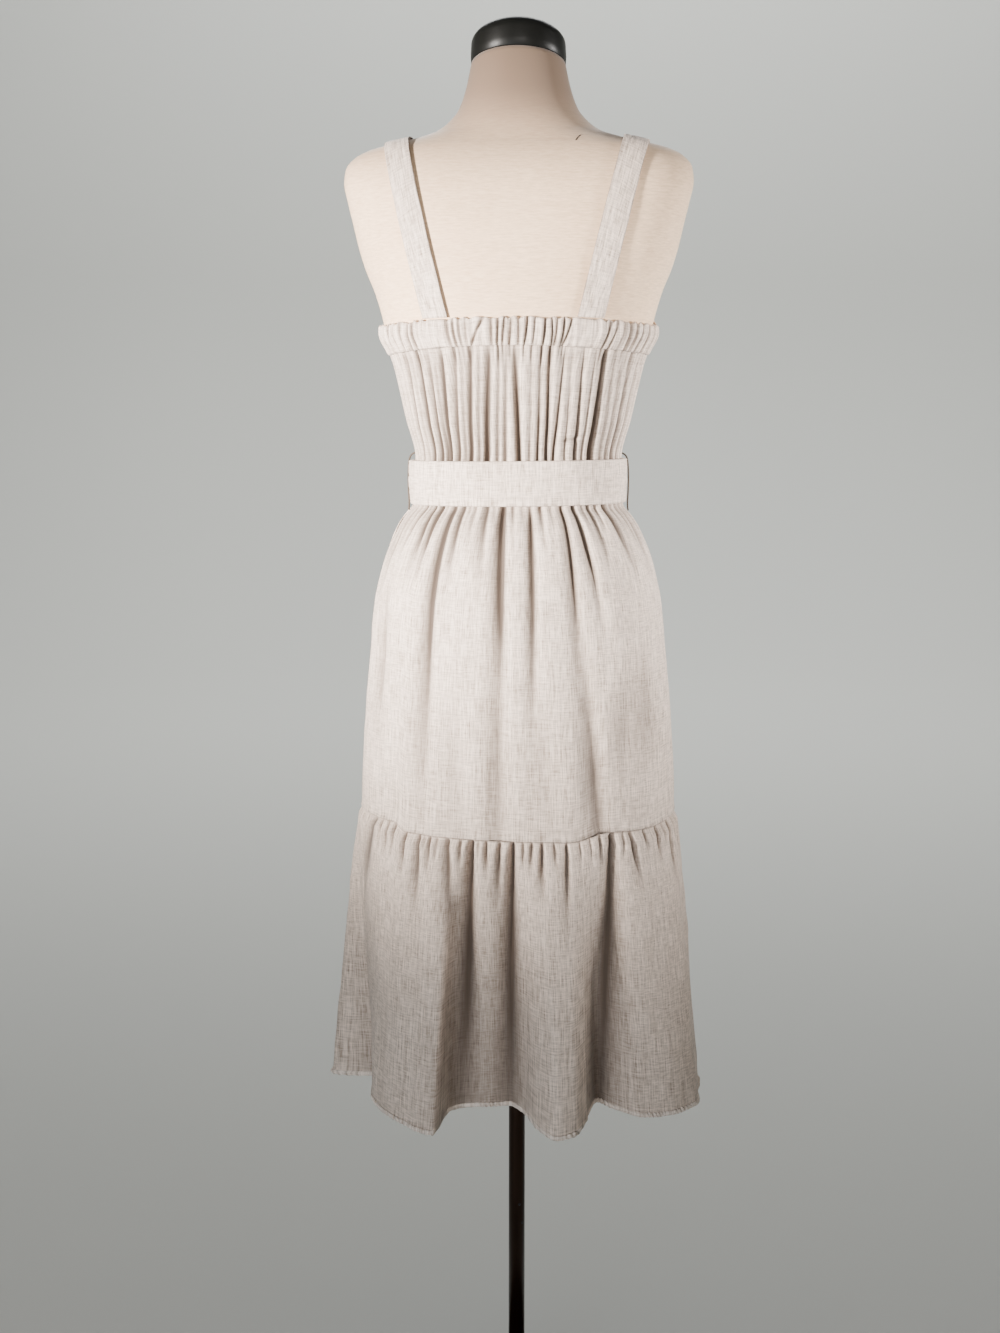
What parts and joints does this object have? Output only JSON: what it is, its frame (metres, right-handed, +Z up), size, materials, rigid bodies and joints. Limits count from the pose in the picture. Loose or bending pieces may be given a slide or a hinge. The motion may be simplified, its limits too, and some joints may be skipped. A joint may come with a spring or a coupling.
{
  "type": "sundress on a limbless dress form",
  "caption": "Strappy midi sundress in oatmeal linen with a gathered back, waist belt and gathered hem tier, worn by a limbless dress form on a pole stand.",
  "frame": {"origin": "middle of the base disc's underside, on the pole's line", "axes": "+Z up; the back of the dress faces -Y and its front +Y; +X is the wearer's right"},
  "size_m": [0.4529, 0.3521, 1.6999],
  "materials": {
    "linen": "oatmeal plain-weave linen blend",
    "form_cover": "cream woven cover",
    "cap_gloss": "dark gloss",
    "stand_metal": "dark satin"
  },
  "bodies": {
    "root": {"bodice_back": "linen", "casing_back": "linen", "skirt_back": "linen", "tier_back": "linen", "bodice_front": "linen", "skirt_front": "linen", "tier_front": "linen", "belt": "linen", "belt_loop_left": "linen", "belt_loop_right": "linen", "strap_left": "linen", "strap_right": "linen", "form_torso": "form_cover", "form_neck_cap": "cap_gloss", "stand_collar": "stand_metal", "stand_pole": "stand_metal", "stand_base": "stand_metal"}
  },
  "joints": []
}
